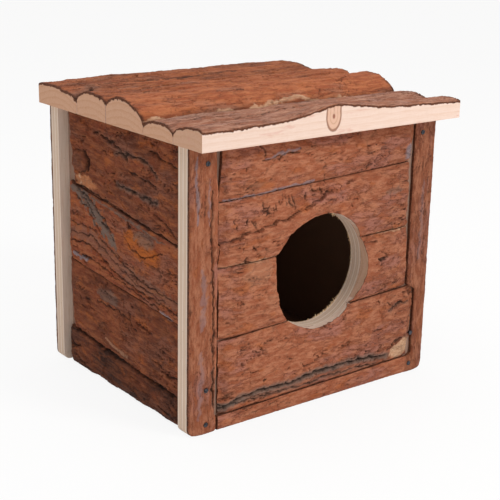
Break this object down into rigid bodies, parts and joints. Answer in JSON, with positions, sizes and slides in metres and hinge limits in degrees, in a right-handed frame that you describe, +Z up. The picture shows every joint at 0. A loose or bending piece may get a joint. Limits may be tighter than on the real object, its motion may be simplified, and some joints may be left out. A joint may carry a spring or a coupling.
{
  "type": "birdhouse",
  "caption": "Small bark-faced wooden nest house with a round entrance hole, crowned bark slats on plywood panels and a flat lift-off roof of thick bark slabs.",
  "frame": {"origin": "on the base, midway across the front and midway between the front and back bark edges", "axes": "+Z up, the front with the entrance hole faces -Y, +X to the right of a viewer facing the front"},
  "size_m": [0.1504, 0.1388, 0.1463],
  "materials": {
    "bark_red": "rough reddish-brown conifer bark, matt",
    "bark_brown": "rough darker brown bark, matt",
    "bark_roof": "fibrous orange-brown bark over pale sawn wood, matt",
    "plywood": "unfinished sanded plywood, matt",
    "pale_softwood": "unfinished sawn softwood, matt",
    "steel_brad": "bright steel, satin"
  },
  "bodies": {
    "house": {"front_panel": "plywood", "back_panel": "plywood", "left_side_panel": "plywood", "right_side_panel": "plywood", "floor_panel": "plywood", "front_left_stile": "bark_red", "front_right_stile": "bark_red", "front_bottom_rail": "bark_red", "front_lower_slat": "bark_red", "front_middle_left_slat": "bark_red", "front_middle_right_slat": "bark_red", "front_upper_slat": "bark_red", "front_top_slat": "bark_red", "left_slab_1": "bark_brown", "left_slab_2": "bark_brown", "left_slab_3": "bark_brown", "left_slab_4": "bark_brown", "right_slab_1": "bark_brown", "right_slab_2": "bark_brown", "right_slab_3": "bark_brown", "right_slab_4": "bark_brown", "back_left_stile": "bark_red", "back_right_stile": "bark_red", "back_slab_1": "bark_red", "back_slab_2": "bark_red", "back_slab_3": "bark_red", "back_slab_4": "bark_red", "front_brads": "steel_brad", "back_brads": "steel_brad", "floor_brads": "steel_brad"},
    "roof": {"roof_slab_1": "bark_roof", "roof_slab_2": "bark_roof", "roof_slab_3": "bark_roof", "roof_slab_4": "bark_roof", "roof_slab_5": "bark_roof", "roof_batten_left": "pale_softwood", "roof_batten_right": "pale_softwood", "batten_brads": "steel_brad"}
  },
  "joints": [
    {"name": "roof_lift", "type": "slide", "parent": "house", "child": "roof", "axis": [0, 0, 1], "range_m": [0, 0.06]}
  ]
}
